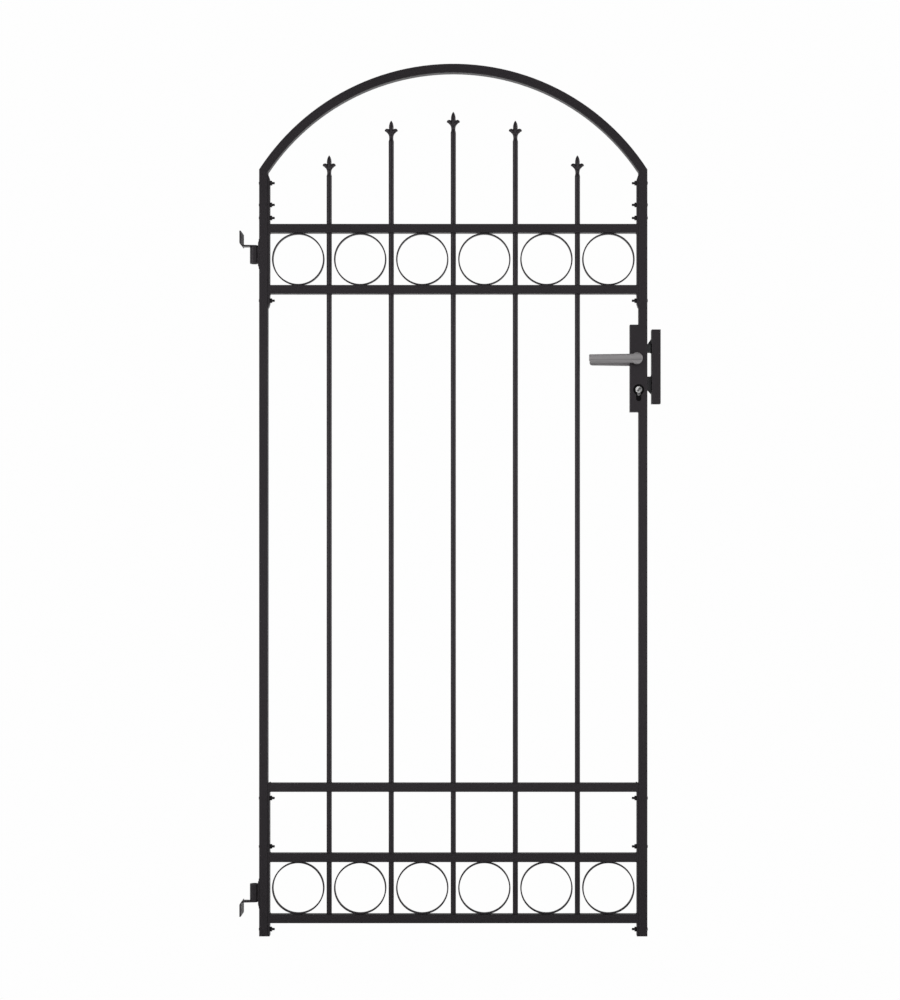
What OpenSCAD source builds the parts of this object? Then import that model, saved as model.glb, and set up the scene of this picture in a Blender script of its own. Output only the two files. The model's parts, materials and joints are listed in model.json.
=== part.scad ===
// Arched garden gate leaf of welded square tube and round bars, with its two wall
// hinges, lever lock and strike. +X runs from the hinge side to the strike, +Z up,
// and the gate opens towards -Y. The origin is the middle of the flat outer face of
// the lower wall bracket's flange. All sizes are in millimetres.

/* [Leaf frame] */
// Width of the leaf over its two stiles
leaf_w = 890; // [860:5:1000]
// Height of the leaf from its foot to the crown of the arch
leaf_h = 2000; // [1950:10:2200]
// Outer radius of the arch
arch_r = 530; // [520:5:600]
// Side of the square frame tube
tube_w = 20; // [20:1:24]
// Wall of the square frame tube
tube_t = 1.5; // [1:0.25:2]
// Outer corner radius of the square frame tube
tube_r = 1.5; // [0.5:0.25:2.5]
// From the foot of the leaf to the bottom rail
foot_gap = 30; // [25:1:60]
// Clear height between the lower band of rings and the lower rail
lower_rail_gap = 141; // [60:1:300]
// From the top of the upper side plates down to the top rail
rail_under_plate = 112; // [105:1:125]
// Depth of the plastic caps in the feet of the stiles
cap_h = 8; // [4:1:10]
// Clearance all round the caps
cap_fit = 0.1; // [0.05:0.05:0.2]

/* [Side plates and bolts] */
// Thickness of the plates that the rails are welded to
plate_t = 4; // [3:0.5:5]
// Length of the slope at the ends of the upper plates
plate_slope = 9; // [6:1:12]
// Thickness left at the thin end of that slope
plate_edge = 1; // [0.5:0.5:2]
// From the top of the upper plates to the inner corner of the arch
plate_top_gap = 7; // [5:1:15]
// From the top of the upper plates down to the joint of arch and stile
splice_drop = 42; // [38:1:50]
// From that joint to the bolts on either side of it
splice_bolt = 25; // [22:1:27]
// From a rail to the bolt beside it
rail_bolt = 15; // [12:1:20]
// How far the upper plates reach below the upper band
plate_tail = 31.5; // [28:0.5:40]
// Bolt diameter
bolt_d = 6; // [5:0.5:7]
// Clearance round a bolt in its holes
bolt_fit = 0.2; // [0.1:0.05:0.4]
// Diameter of the low bolt head
head_d = 10; // [10:0.5:13]
// Height of the low bolt head
head_h = 1.5; // [1:0.5:3]
// Nut size across its flats
nut_af = 10; // [10:0.5:12]
// Nut thickness
nut_h = 5; // [4:0.5:6]
// How far a bolt reaches past its nut
bolt_end = 6; // [3:0.5:8]
// Clearance of the nut on its bolt
nut_fit = 0.05; // [0.02:0.01:0.1]

/* [Bars, spears and rings] */
// Diameter of the upright bars
bar_d = 12; // [10:0.5:14]
// Wall of the bar tube
bar_t = 1.2; // [1:0.1:2]
// Clearance of a bar in the holes of the rails
bar_fit = 0.05; // [0.02:0.01:0.2]
// How much narrower the two end bays are than the others
end_bay_trim = 2.5; // [0:0.5:4]
// Gap between the spear tips and the arch above them
tip_gap = 88.5; // [70:0.5:100]
// How much lower the outermost tips stand below the arch
outer_tip_drop = 13; // [0:1:20]
// Height of a spear head
spear_h = 49; // [46:1:56]
// Width of a spear head over its two lobes
spear_w = 30.5; // [28:0.5:32]
// Thickness of the lobes
lobe_t = 9; // [6:0.5:11]
// Diameter of the blade at its thickest
blade_d = 12; // [11:0.5:13]
// Diameter of the neck under the lobes
neck_d = 8.4; // [7:0.2:10]
// Length of the spigot that holds a spear head in its bar
spigot_h = 14; // [10:1:20]
// Clearance of the spigot in the bar
spigot_fit = 0.05; // [0.02:0.01:0.2]
// Gap between a ring and the bars beside it
ring_gap = 5.25; // [3:0.25:10]
// Thickness of the ring strip
ring_t = 3; // [2:0.5:5]
// Depth of the ring strip
ring_depth = 12; // [8:1:18]

/* [Hinges and wall brackets] */
// Foot of the leaf to the underside of the lower hinge barrel
lower_barrel_z = 81; // [70:1:120]
// From the underside of the top rail down to that of the upper hinge barrel
upper_barrel_drop = 70; // [60:1:110]
// Height of a hinge barrel
barrel_h = 38.5; // [30:0.5:60]
// Outer diameter of a hinge barrel
barrel_d = 20; // [20:0.5:24]
// Diameter of the hinge pin
pin_d = 12; // [10:0.5:13]
// Running clearance of the pin in the barrel
pin_fit = 0.05; // [0.02:0.01:0.1]
// How far the pin stops short of the barrel's far end
pin_short = 3; // [1:1:8]
// Thickness of the plate under the barrel
hinge_plate_t = 2.5; // [1.5:0.5:4]
// How far that plate reaches past the barrel's free end
hinge_plate_free = 11; // [6:0.5:15]
// How far it reaches past the barrel at the bracket
hinge_plate_arm = 16; // [12:0.5:20]
// Length of the slope at that end of the plate
hinge_plate_slope = 8; // [4:0.5:10]
// How deep the barrel is welded into its plate
weld_sink = 0.5; // [0.2:0.1:1]
// Gap between barrel and bracket arm
arm_gap = 0.3; // [0.2:0.1:1]
// Thickness of the bracket strap
strap_t = 3; // [3:0.5:5]
// From the flange's outer face to the pin's axis
pin_reach = 30.5; // [28:0.5:60]
// Width of the arm round the pin
arm_end_w = 16.5; // [15:0.5:16.5]
// Width of the arm at the flange
arm_root_w = 22; // [18:1:24]
// Outer radius of the bend between arm and flange
bend_r = 5.5; // [5:0.5:8]
// Height of the flange from the arm's far face
flange_h = 32; // [28:1:60]
// Width of the flange
flange_w = 60; // [50:1:80]
// Diameter of the flange's screw holes
flange_hole_d = 6.5; // [5:0.5:8]
// Distance between the flange's two screw holes
flange_hole_gap = 36; // [34:1:40]

/* [Lock] */
// From the underside of the upper band's lower rail down to the lock case
lock_drop = 71; // [50:1:200]
// Height of the lock case
case_h = 200; // [196:1:205]
// Width of the lock case
case_w = 40; // [38:1:50]
// Wall of the lock case
case_t = 1.5; // [1:0.25:2]
// From the case's latch face to the axes of spindle and cylinder
backset = 20; // [19:0.5:22]
// Underside of the case to the axis of the cylinder
cylinder_up = 51; // [48:1:54]
// From the cylinder's axis up to the spindle's axis
lock_spacing = 69; // [68:0.5:74]
// Diameter of the round window about the cylinder
window_d = 25; // [22:0.5:28]
// Width of the slot under that window
window_slot_w = 12; // [11:0.5:14]
// From the cylinder's axis to the foot of that slot
window_slot_down = 26.5; // [25:0.5:28]
// Thickness of the lock body inside the case
body_t = 15; // [14:0.5:16]
// Gap between the lock body and the case above and below it
body_gap = 8; // [4:1:10]
// Width of the face plate of the lock body
face_w = 15; // [13:0.5:16]
// Clearance of the face plate in the case
face_fit = 0.15; // [0.05:0.05:0.3]
// Cylinder head diameter
cyl_d = 17; // [16.5:0.5:18]
// Width of the cylinder's lower limb
cyl_limb_w = 8; // [7:0.5:10]
// Height of the whole cylinder profile
cyl_h = 22.5; // [20:0.5:33]
// How far the cylinder stands out of the case
cyl_proud = 1; // [0.5:0.5:3]
// Clearance of the cylinder in the lock body
cyl_fit = 0.1; // [0.05:0.05:0.3]
// Diameter of the turning plug
plug_d = 14.5; // [13:0.5:15]
// How far the plug stands out of the cylinder
plug_proud = 0.6; // [0.2:0.2:2]
// Depth of the plug in the cylinder
plug_deep = 9; // [7:0.5:10]
// Clearance of the plug in the cylinder
plug_fit = 0.05; // [0.02:0.01:0.1]
// Length of the key slot
key_l = 9; // [7:0.5:11]
// Width of the key slot
key_w = 2.2; // [1.5:0.1:3]
// Lean of the key slot
key_lean = 35; // [0:5:90]

/* [Bolts of the lock] */
// Height of the latch bolt
latch_h = 17; // [15:0.5:18]
// Thickness of both bolts
latch_t = 10; // [8:0.5:10.5]
// Length of the latch bolt
latch_l = 33; // [31:0.5:34]
// From the spindle's axis up to the middle of the latch bolt
latch_up = 26; // [22:0.5:27]
// Thickness left at the tip of its sloped nose
latch_tip = 2; // [1:0.5:4]
// How far the latch bolt stands out of the case
latch_out = 8; // [6:0.5:8.5]
// How far the handle draws the latch bolt in
latch_throw = 9; // [8.5:0.5:9]
// Height of the dead bolt
dead_h = 30; // [25:1:32]
// From the cylinder's axis up to the middle of the dead bolt
dead_up = 17; // [16:1:19]
// Length of the dead bolt
dead_l = 10; // [8:1:11]
// Clearance round the bolts in the lock body
bolt_slot_fit = 0.2; // [0.1:0.05:0.4]

/* [Handle] */
// Side of the square spindle
spindle_w = 7; // [7:0.5:8]
// Clearance of the spindle in the levers
spindle_fit = 0.05; // [0.02:0.01:0.1]
// Diameter of a lever's neck where it turns in the case
lever_neck_d = 13; // [12.5:0.5:17]
// Running clearance of the neck in the case
lever_neck_fit = 0.05; // [0.02:0.01:0.1]
// Height of the lever's head
lever_head_h = 26.5; // [25:0.5:30]
// From the spindle's axis to the middle of the lever's head
lever_head_in = 6.5; // [5:0.5:8]
// Height of the grip where it leaves the head
lever_root_h = 21; // [20:0.5:25]
// Height of the lever at its tip
lever_tip_h = 18; // [15:0.5:20]
// From the spindle's axis to the front lever's tip
lever_l = 115; // [95:1:130]
// How much shorter the back lever is
back_short = 5; // [0:0.5:8]
// Thickness of the grip
lever_t = 11; // [9:0.5:14]
// From the case to the outer face of the grip
lever_stand = 29; // [27:1:40]
// Radius of the lever's lower tip corner
lever_corner = 6; // [3:0.5:9]

/* [Strike] */
// Gap between the leaf and the strike
strike_gap = 10; // [10:0.5:14]
// Width of the strike
strike_w = 20.5; // [20:0.5:26]
// Height of the strike
strike_h = 170; // [165:1:190]
// Underside of the strike above that of the lock case
strike_up = 19; // [15:1:22]
// Wall of the strike
strike_t = 2; // [1.5:0.25:3]
// Thickness of the stop plate behind the leaf
stop_t = 3; // [2:0.5:5]
// How far the stop's ears reach behind the leaf
ear_lap = 8; // [5:0.5:12]
// Gap between the ears and the closed leaf
ear_gap = 1; // [1:0.5:2]
// Height of the upper ear where it leaves the strike
upper_ear_h = 32; // [26:1:36]
// Height of the lower ear where it leaves the strike
lower_ear_h = 41; // [36:1:46]
// Radius of the corners of the notch between the ears
notch_r = 3; // [1:0.5:4]
// Diameter of the strike's screw holes
strike_hole_d = 6.5; // [5:0.5:8]
// Distance between the strike's two screw holes
strike_hole_gap = 140; // [138:1:142]

/* [Hidden] */
bar_count = 5;           // a bar and a spear head for each of their names in NODES

$fn = 64;
eps = 1;                 // how far a cut runs past the face it opens
steel = "#2b2a2d";
alloy = "#8a8789";
bright = "#c9c9c6";

// places of the leaf in the part's frame
arm_half_end = arm_end_w / 2;
flat_h = flange_h - bend_r;
axis_to_leaf = hinge_plate_t + barrel_d / 2 - weld_sink;
leaf_x = pin_reach + axis_to_leaf + leaf_w / 2;
leaf_z = flange_h - flat_h / 2 + arm_gap - lower_barrel_z;

// levels above the foot of the leaf
half_w = leaf_w / 2;
inner_half = half_w - tube_w;
arch_z = leaf_h - arch_r;
corner_z = arch_z + sqrt(pow(arch_r - tube_w, 2) - pow(inner_half, 2));
plate_top = round(corner_z - plate_top_gap);
splice_z = plate_top - splice_drop;
top_rail_z = plate_top - rail_under_plate - tube_w;
// the bays between the bars set the rings, and the rings the bands they stand in
bar_pitch = (2 * inner_half + 2 * end_bay_trim) / (bar_count + 1);
band_h = bar_pitch - bar_d - 2 * ring_gap;
lower_band_z = foot_gap + tube_w;
lower_rail_z = lower_band_z + band_h + tube_w + lower_rail_gap;
upper_band_z = top_rail_z - band_h;
plate_foot = upper_band_z - tube_w - plate_tail;
lower_plate_top = lower_rail_z + tube_w;
upper_barrel_z = top_rail_z - upper_barrel_drop;
bolt_levels_low = [foot_gap - rail_bolt, lower_band_z + band_h + tube_w + rail_bolt,
                   lower_rail_z - rail_bolt];
bolt_levels_high = [upper_band_z - tube_w - rail_bolt, top_rail_z + tube_w + rail_bolt,
                    splice_z - splice_bolt, splice_z + splice_bolt];
bolt_levels = concat(bolt_levels_low, bolt_levels_high);

// places across the leaf
outer_bar_x = bar_pitch * (bar_count - 1) / 2;
panel_half = inner_half - plate_t;
end_ring_x = (outer_bar_x + bar_d / 2 + panel_half) / 2;
function bar_x(i) = (i - (bar_count - 1) / 2) * bar_pitch;
function is_outer(i) = i == 0 || i == bar_count - 1;
function arch_soffit(x) = arch_z + sqrt(pow(arch_r - tube_w, 2) - pow(x, 2));
function tip_z(i) = arch_soffit(bar_x(i)) - tip_gap - (is_outer(i) ? outer_tip_drop : 0);
function ring_x(i) = i == 0 ? -end_ring_x : i == bar_count ? end_ring_x : bar_x(i) - bar_pitch / 2;

// lock levels and places
lock_x = half_w - backset;
case_z = upper_band_z - tube_w - lock_drop - case_h;
cylinder_z = case_z + cylinder_up;
spindle_z = cylinder_z + lock_spacing;
latch_z = spindle_z + latch_up;
dead_z = cylinder_z + dead_up;
case_back_x = half_w - case_w;
body_x = case_back_x + case_t;
face_h = case_h - 2 * body_gap;

// strike places
strike_x = half_w + strike_gap;
strike_z = case_z + strike_up;
notch_top = latch_z - latch_h / 2;
notch_foot = dead_z + dead_h / 2;

module on_leaf() { translate([leaf_x, 0, leaf_z]) children(); }

// a rectangle of folded or drawn sheet, with the tube's rounded corners
module soft_corners(w, d) {
    x = w / 2 - tube_r;
    y = d / 2 - tube_r;
    square([2 * x, d], center = true);
    square([w, 2 * y], center = true);
    for (i = [-1, 1], j = [-1, 1]) translate([i * x, j * y]) circle(tube_r, $fn = 32);
}

// the section of the square frame tube
module tube_section() {
    difference() {
        soft_corners(tube_w, tube_w);
        square(tube_w - 2 * tube_t, center = true);
    }
}

// a square tube standing on z = 0
module upright_tube(h) { linear_extrude(h) tube_section(); }

// a straight cut along X through x, at the height z
module cross_hole(x, z, d, reach) {
    translate([x, 0, z]) rotate([0, 90, 0]) cylinder(d = d, h = reach, center = true);
}

// ---- frame of the leaf ----

module stile(side, z0, z1) {
    x = side * (half_w - tube_w / 2);
    color(steel) on_leaf() difference() {
        translate([x, 0, z0]) upright_tube(z1 - z0);
        for (z = bolt_levels)
            if (z > z0 && z < z1) cross_hole(x, z, bolt_d + 2 * bolt_fit, tube_w + 2 * eps);
    }
}

// half the section of a block as thick as the tube, from its middle out to r: its edges are
// rounded off, or flared outwards where the block is the opening inside the tube
module edge_profile(r, flared) {
    flat = tube_w - 2 * tube_r;
    if (flared) difference() {
        translate([0, -tube_w / 2 - eps]) square([r + tube_r, tube_w + 2 * eps]);
        translate([r, -flat / 2]) square([2 * tube_r, flat]);
        for (side = [-1, 1]) translate([r + tube_r, side * flat / 2]) circle(tube_r, $fn = 32);
    } else {
        translate([0, -tube_w / 2]) square([r - tube_r, tube_w]);
        translate([0, -flat / 2]) square([r, flat]);
        for (side = [-1, 1]) translate([r - tube_r, side * flat / 2]) circle(tube_r, $fn = 32);
    }
}

// all that lies under an arch of radius r and between its legs, each half from the middle
module arch_block(r, half, foot, flared) {
    intersection() {
        translate([0, 0, arch_z]) rotate([90, 0, 0]) rotate_extrude($fn = 360)
            edge_profile(r, flared);
        translate([0, 0, foot]) linear_extrude(arch_r + tube_w) for (side = [0, 1])
            mirror([side, 0]) edge_profile(half, flared);
    }
}

// the hollow inside the tube of the arch and its legs
module arch_hollow() {
    rotate([90, 0, 0]) linear_extrude(tube_w - 2 * tube_t, center = true) difference() {
        intersection() {
            translate([0, arch_z]) circle(arch_r - tube_t, $fn = 360);
            translate([-half_w + tube_t, splice_z - eps]) square([leaf_w - 2 * tube_t, arch_r]);
        }
        intersection() {
            translate([0, arch_z]) circle(arch_r - tube_w + tube_t, $fn = 360);
            translate([-inner_half - tube_t, splice_z - 2 * eps])
                square([2 * (inner_half + tube_t), arch_r]);
        }
    }
}

module arch_top() {
    color(steel) on_leaf() difference() {
        arch_block(arch_r, half_w, splice_z, false);
        arch_block(arch_r - tube_w, inner_half, splice_z - eps, true);
        arch_hollow();
        for (side = [-1, 1])
            cross_hole(side * (half_w - tube_w / 2), splice_z + splice_bolt,
                       bolt_d + 2 * bolt_fit, tube_w + 2 * eps);
    }
}

// a flat plate on a stile's inner face, thinned over slope at its ends
module side_plate(side, z0, z1, slope) {
    x0 = side * inner_half;
    x1 = side * panel_half;
    x_thin = side * (inner_half - (slope > 0 ? plate_edge : plate_t));
    color(steel) on_leaf() difference() {
        rotate([90, 0, 0]) linear_extrude(tube_w, center = true)
            polygon([[x0, z0], [x_thin, z0], [x1, z0 + slope], [x1, z1 - slope],
                     [x_thin, z1], [x0, z1]]);
        for (z = bolt_levels)
            if (z > z0 && z < z1)
                cross_hole((x0 + x1) / 2, z, bolt_d + 2 * bolt_fit, plate_t + 2 * eps);
    }
}

// a rail between the side plates, drilled for the bars; the lowest is drilled on top only
module rail(z, lowest) {
    hole_foot = lowest ? tube_w / 2 : -eps;
    color(steel) on_leaf() difference() {
        translate([-panel_half, 0, z + tube_w / 2]) rotate([0, 90, 0])
            upright_tube(2 * panel_half);
        for (i = [0 : bar_count - 1])
            translate([bar_x(i), 0, z + hole_foot])
                cylinder(d = bar_d + 2 * bar_fit, h = tube_w - hole_foot + eps);
    }
}

module foot_caps() {
    w = tube_w - 2 * tube_t - 2 * cap_fit;
    color("#1c1c1d") on_leaf() for (side = [-1, 1])
        translate([side * (half_w - tube_w / 2) - w / 2, -w / 2, 0]) cube([w, w, cap_h]);
}

// ---- bolts and nuts of the frame ----

module frame_bolt(side, z) {
    reach = tube_w + plate_t + nut_h + bolt_end;
    translate([side * half_w, 0, z]) rotate([0, side * 90, 0]) {
        cylinder(d = head_d, h = head_h);
        translate([0, 0, -reach]) cylinder(d = bolt_d, h = reach + head_h / 2);
    }
}

module frame_nut(side, z) {
    translate([side * (panel_half - nut_h / 2), 0, z]) rotate([0, 90, 0]) difference() {
        cylinder(r = nut_af / sqrt(3), h = nut_h, center = true, $fn = 6);
        cylinder(d = bolt_d + 2 * nut_fit, h = nut_h + 2 * eps, center = true);
    }
}

module side_bolts(side) { color(steel) on_leaf() for (z = bolt_levels) frame_bolt(side, z); }
module side_nuts(side) { color(steel) on_leaf() for (z = bolt_levels) frame_nut(side, z); }

// ---- bars, spear heads and rings ----

module bar(i) {
    z0 = foot_gap + tube_t;
    h = tip_z(i) - spear_h - z0;
    color(steel) on_leaf() translate([bar_x(i), 0, z0]) difference() {
        cylinder(d = bar_d, h = h);
        translate([0, 0, -eps]) cylinder(d = bar_d - 2 * bar_t, h = h + 2 * eps);
    }
}

// heights in a spear head, above the bar
flare_h = 4;
neck_z = 9;
lobe_r = 5.6;
lobe_z = spear_h - 21.5;
blade_z = spear_h - 14;
lobe_x = spear_w / 2 - lobe_r;

// the two lobes in elevation, with hollow undersides that run into the neck
module lobe_outline() {
    hollow_r = lobe_z - neck_z + 2;
    difference() {
        union() {
            for (side = [-1, 1]) translate([side * lobe_x, lobe_z]) circle(lobe_r);
            translate([-lobe_x, neck_z]) square([2 * lobe_x, lobe_z + lobe_r - neck_z]);
        }
        for (side = [-1, 1])
            translate([side * (neck_d / 2 + hollow_r), neck_z]) circle(hollow_r);
    }
}

module spear(i) {
    color(steel) on_leaf() translate([bar_x(i), 0, tip_z(i) - spear_h]) {
        rotate_extrude() polygon([[0, -spigot_h], [bar_d / 2 - bar_t - spigot_fit, -spigot_h],
            [bar_d / 2 - bar_t - spigot_fit, 0], [bar_d / 2, 0], [neck_d / 2, flare_h],
            [neck_d / 2, neck_z], [blade_d / 2 - 1, lobe_z], [blade_d / 2, blade_z],
            [blade_d / 2 - 2.2, blade_z + 7], [0, spear_h]]);
        rotate([90, 0, 0]) linear_extrude(lobe_t, center = true) lobe_outline();
    }
}

module rings(z) {
    color(steel) on_leaf() for (i = [0 : bar_count])
        translate([ring_x(i), 0, z + band_h / 2]) rotate([90, 0, 0]) difference() {
            cylinder(d = band_h, h = ring_depth, center = true, $fn = 120);
            cylinder(d = band_h - 2 * ring_t, h = ring_depth + 2 * eps, center = true, $fn = 120);
        }
}

// ---- hinges ----

// the barrel on its plate; down is 1 where the bracket lies under it and 0 where above
module hinge_barrel(z, down) {
    low = z - (down ? hinge_plate_arm : hinge_plate_free);
    high = z + barrel_h + (down ? hinge_plate_free : hinge_plate_arm);
    low_slope = down ? hinge_plate_slope : 2 * hinge_plate_t;
    high_slope = down ? 2 * hinge_plate_t : hinge_plate_slope;
    color(steel) on_leaf() difference() {
        union() {
            rotate([90, 0, 0]) linear_extrude(tube_w, center = true)
                polygon([[-half_w, low], [-half_w, high],
                         [-half_w - hinge_plate_t, high - high_slope],
                         [-half_w - hinge_plate_t, low + low_slope]]);
            translate([-half_w - axis_to_leaf, 0, z]) cylinder(d = barrel_d, h = barrel_h);
        }
        translate([-half_w - axis_to_leaf, 0, z - eps])
            cylinder(d = pin_d + 2 * pin_fit, h = barrel_h + 2 * eps);
    }
}

// the strap in elevation: the arm's far face at z = 0, the flange going down from it
module strap_outline() {
    difference() {
        union() {
            translate([0, -flange_h]) square([strap_t, flat_h]);
            translate([bend_r, -strap_t]) square([pin_reach + arm_half_end - bend_r, strap_t]);
            intersection() {
                translate([bend_r, -bend_r]) circle(bend_r);
                translate([0, -bend_r]) square(bend_r);
            }
        }
        translate([bend_r, -bend_r]) circle(bend_r - strap_t);
    }
}

// the strap in plan: the full flange, then the arm narrowing to its round end
module strap_plan() {
    translate([0, -flange_w / 2]) square([strap_t, flange_w]);
    polygon([[0, -arm_root_w / 2], [0, arm_root_w / 2],
             [pin_reach, arm_half_end], [pin_reach, -arm_half_end]]);
    translate([pin_reach, 0]) circle(arm_half_end);
}

// the bracket with its arm's top face at z = 0 and its pin standing up from it
module wall_bracket() {
    difference() {
        intersection() {
            rotate([90, 0, 0]) linear_extrude(flange_w + 2 * eps, center = true) strap_outline();
            translate([0, 0, -flange_h - eps]) linear_extrude(flange_h + 2 * eps) strap_plan();
        }
        for (side = [-1, 1])
            translate([0, side * flange_hole_gap / 2, -flange_h + flat_h / 2]) rotate([0, 90, 0])
                cylinder(d = flange_hole_d, h = 4 * strap_t, center = true);
    }
    translate([pin_reach, 0, -strap_t]) cylinder(d = pin_d, h = strap_t + arm_gap + barrel_h - pin_short);
}

module lower_wall_bracket() {
    color(steel) translate([0, 0, leaf_z + lower_barrel_z - arm_gap]) wall_bracket();
}

module upper_wall_bracket() {
    color(steel) translate([0, 0, leaf_z + upper_barrel_z + barrel_h + arm_gap])
        mirror([0, 0, 1]) wall_bracket();
}

// ---- lock ----

// the keyhole-shaped window in the case, round above a round-ended slot
module window_outline() {
    r = window_slot_w / 2;
    foot = cylinder_z - window_slot_down + r;
    translate([lock_x, cylinder_z]) circle(window_d / 2);
    translate([lock_x, foot]) circle(r);
    translate([lock_x - r, foot]) square([window_slot_w, cylinder_z - foot]);
}

module lock_case() {
    color(steel) on_leaf() difference() {
        translate([case_back_x + case_w / 2, 0, case_z])
            linear_extrude(case_h) soft_corners(case_w, tube_w);
        translate([body_x, -tube_w / 2 + case_t, case_z + case_t])
            cube([case_w - 2 * case_t, tube_w - 2 * case_t, case_h - 2 * case_t]);
        translate([half_w - 2 * case_t, -face_w / 2 - face_fit, case_z + body_gap - face_fit])
            cube([3 * case_t, face_w + 2 * face_fit, face_h + 2 * face_fit]);
        rotate([90, 0, 0]) linear_extrude(tube_w + 2 * eps, center = true) window_outline();
        translate([lock_x, 0, spindle_z]) rotate([90, 0, 0])
            cylinder(d = lever_neck_d + 2 * lever_neck_fit, h = tube_w + 2 * eps, center = true);
    }
}

// the slot of a bolt in the lock body, open at the face
module bolt_slot(z, h, l, out) {
    translate([half_w + out - l - bolt_slot_fit, -latch_t / 2 - bolt_slot_fit,
               z - h / 2 - bolt_slot_fit])
        cube([l - out + bolt_slot_fit + eps, latch_t + 2 * bolt_slot_fit, h + 2 * bolt_slot_fit]);
}

module lock_body() {
    color("#1a1a1b") on_leaf() difference() {
        translate([body_x, -body_t / 2, case_z + body_gap]) cube([half_w - body_x, body_t, face_h]);
        bolt_slot(latch_z, latch_h, latch_l, latch_out - latch_throw);
        bolt_slot(dead_z, dead_h, dead_l, 0);
        rotate([90, 0, 0]) linear_extrude(tube_w + 2 * eps, center = true)
            cylinder_outline(cyl_fit);
        translate([lock_x, 0, spindle_z]) rotate([90, 0, 0])
            cylinder(r = spindle_w / sqrt(2) + spindle_fit, h = tube_w + 2 * eps, center = true);
    }
}

// the cylinder's section: a round head over a narrow limb
module cylinder_outline(grow) {
    r = cyl_limb_w / 2;
    foot = cylinder_z + cyl_d / 2 - cyl_h + r;
    translate([lock_x, cylinder_z]) circle(cyl_d / 2 + grow);
    translate([lock_x, foot]) circle(r + grow);
    translate([lock_x - r - grow, foot]) square([2 * (r + grow), cylinder_z - foot]);
}

module lock_cylinder() {
    l = tube_w + 2 * cyl_proud;
    color(alloy) on_leaf() difference() {
        rotate([90, 0, 0]) linear_extrude(l, center = true) cylinder_outline(0);
        for (side = [-1, 1])
            translate([lock_x, side * l / 2, cylinder_z]) rotate([90, 0, 0])
                cylinder(d = plug_d + 2 * plug_fit, h = 2 * plug_deep, center = true);
    }
}

// one plug for each face of the lock
module cylinder_plug() {
    face = tube_w / 2 + cyl_proud;
    color(bright) on_leaf() for (side = [-1, 1])
        translate([lock_x, side * (face + plug_proud), cylinder_z]) rotate([90 * side, 0, 0])
            difference() {
                cylinder(d = plug_d, h = plug_proud + plug_deep);
                rotate([0, 0, 90 - side * key_lean]) translate([-key_l / 2, -key_w / 2, -eps])
                    cube([key_l, key_w, plug_deep]);
            }
}

module dead_bolt() {
    color(bright) on_leaf() translate([half_w - dead_l, -latch_t / 2, dead_z - dead_h / 2])
        cube([dead_l, latch_t, dead_h]);
}

// the latch bolt, its nose sloped on the side that meets the strike as the leaf closes
module latch_bolt() {
    x1 = half_w + latch_out;
    x0 = x1 - latch_l;
    nose = -latch_t / 2 + latch_tip;
    color(bright) on_leaf() translate([0, 0, latch_z - latch_h / 2]) linear_extrude(latch_h)
        polygon([[x0, -latch_t / 2], [x1, -latch_t / 2], [x1, nose], [half_w, latch_t / 2],
                 [x0, latch_t / 2]]);
}

// ---- handle ----

// a lever in elevation, with its tip the length l away from the spindle's axis
module lever_outline(l) {
    tip = -l;
    half_tip = lever_tip_h / 2;
    translate([-lever_head_in, 0]) circle(lever_head_h / 2);
    polygon([[-lever_head_in, lever_root_h / 2], [tip, half_tip],
             [tip, -half_tip + lever_corner], [tip + lever_corner, -half_tip],
             [-lever_head_in, -lever_root_h / 2]]);
    translate([tip + lever_corner, -half_tip + lever_corner]) circle(lever_corner);
}

// the lever in front of the case, of the length l; its neck turns in the case's wall
module lever(l) {
    face = tube_w / 2;
    difference() {
        union() {
            translate([0, -face - lever_stand + lever_t, 0]) rotate([90, 0, 0])
                linear_extrude(lever_t) lever_outline(l);
            translate([0, -face + case_t, 0]) rotate([90, 0, 0])
                cylinder(d = lever_neck_d, h = case_t + lever_stand - lever_t / 2);
        }
        translate([0, -face + 2 * case_t, 0]) rotate([90, 0, 0])
            linear_extrude(2 * case_t + lever_stand - lever_t / 2)
                square(spindle_w + 2 * spindle_fit, center = true);
    }
}

module front_lever() { color(alloy) on_leaf() translate([lock_x, 0, spindle_z]) lever(lever_l); }

module back_lever() {
    color(alloy) on_leaf() translate([lock_x, 0, spindle_z]) mirror([0, 1, 0])
        lever(lever_l - back_short);
}

module spindle() {
    half_l = tube_w / 2 + lever_stand - lever_t / 2;
    color(bright) on_leaf() translate([lock_x - spindle_w / 2, -half_l, spindle_z - spindle_w / 2])
        cube([spindle_w, 2 * half_l, spindle_w]);
}

// ---- strike ----

// an ear of the stop plate, from its edge at the notch away in the direction dir:
// root_h high at the strike, and as high as the bolt before it where it laps the leaf
module ear(z, dir, root_h, tip_h) {
    polygon([[strike_x + eps, z], [half_w - ear_lap, z], [half_w - ear_lap, z + dir * tip_h],
             [half_w, z + dir * tip_h], [strike_x, z + dir * root_h],
             [strike_x + eps, z + dir * root_h]]);
}

module stop_outline() {
    translate([strike_x, strike_z]) square([strike_w, strike_h]);
    ear(notch_top, 1, upper_ear_h, latch_h);
    ear(notch_foot, -1, lower_ear_h, dead_h);
    // rounded inner corners of the notch
    for (side = [-1, 1]) {
        z = side > 0 ? notch_top : notch_foot;
        difference() {
            translate([strike_x - notch_r, side > 0 ? z - notch_r : z]) square([notch_r + eps, notch_r]);
            translate([strike_x - notch_r, z - side * notch_r]) circle(notch_r);
        }
    }
}

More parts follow.
